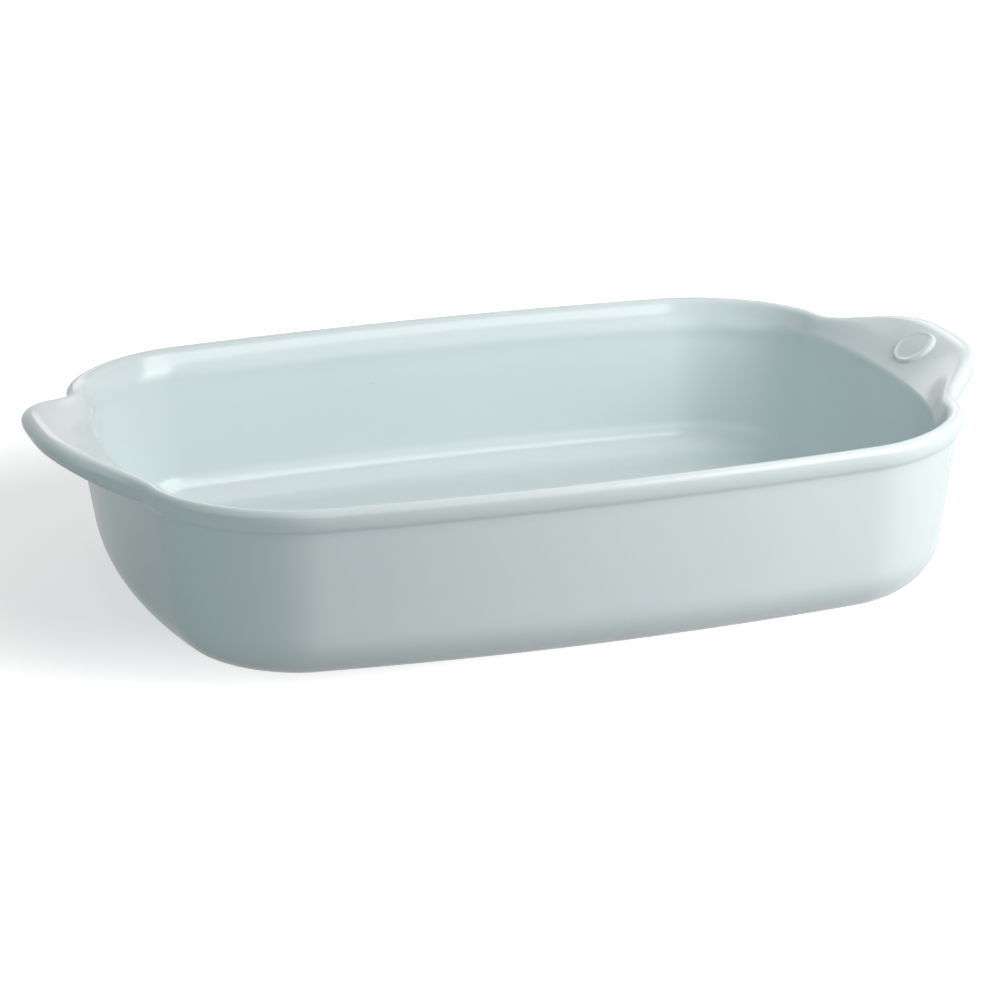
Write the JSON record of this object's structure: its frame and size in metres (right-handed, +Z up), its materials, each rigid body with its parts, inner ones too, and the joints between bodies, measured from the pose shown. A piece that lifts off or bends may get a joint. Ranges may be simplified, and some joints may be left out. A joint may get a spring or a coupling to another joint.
{
  "type": "ceramic baking dish",
  "caption": "Deep rectangular glazed stoneware baking dish with bowed sides, rounded corners, a rolled rim and wing handles drawn out of the rim at both ends.",
  "frame": {"origin": "on the surface that the dish stands on, under the middle of the dish", "axes": "+X along the length, through the right handle with the badge; +Z up, out of the open top"},
  "size_m": [0.358, 0.235, 0.075],
  "materials": {
    "glaze": "glossy pale blue-grey glaze",
    "bare_clay": "unglazed, ground stoneware"
  },
  "bodies": {
    "root": {"basin": "glaze", "rim_front": "glaze", "rim_back": "glaze", "handle_left": "glaze", "handle_right": "glaze", "handle_badge": "glaze", "foot_ring": "bare_clay"}
  },
  "joints": []
}
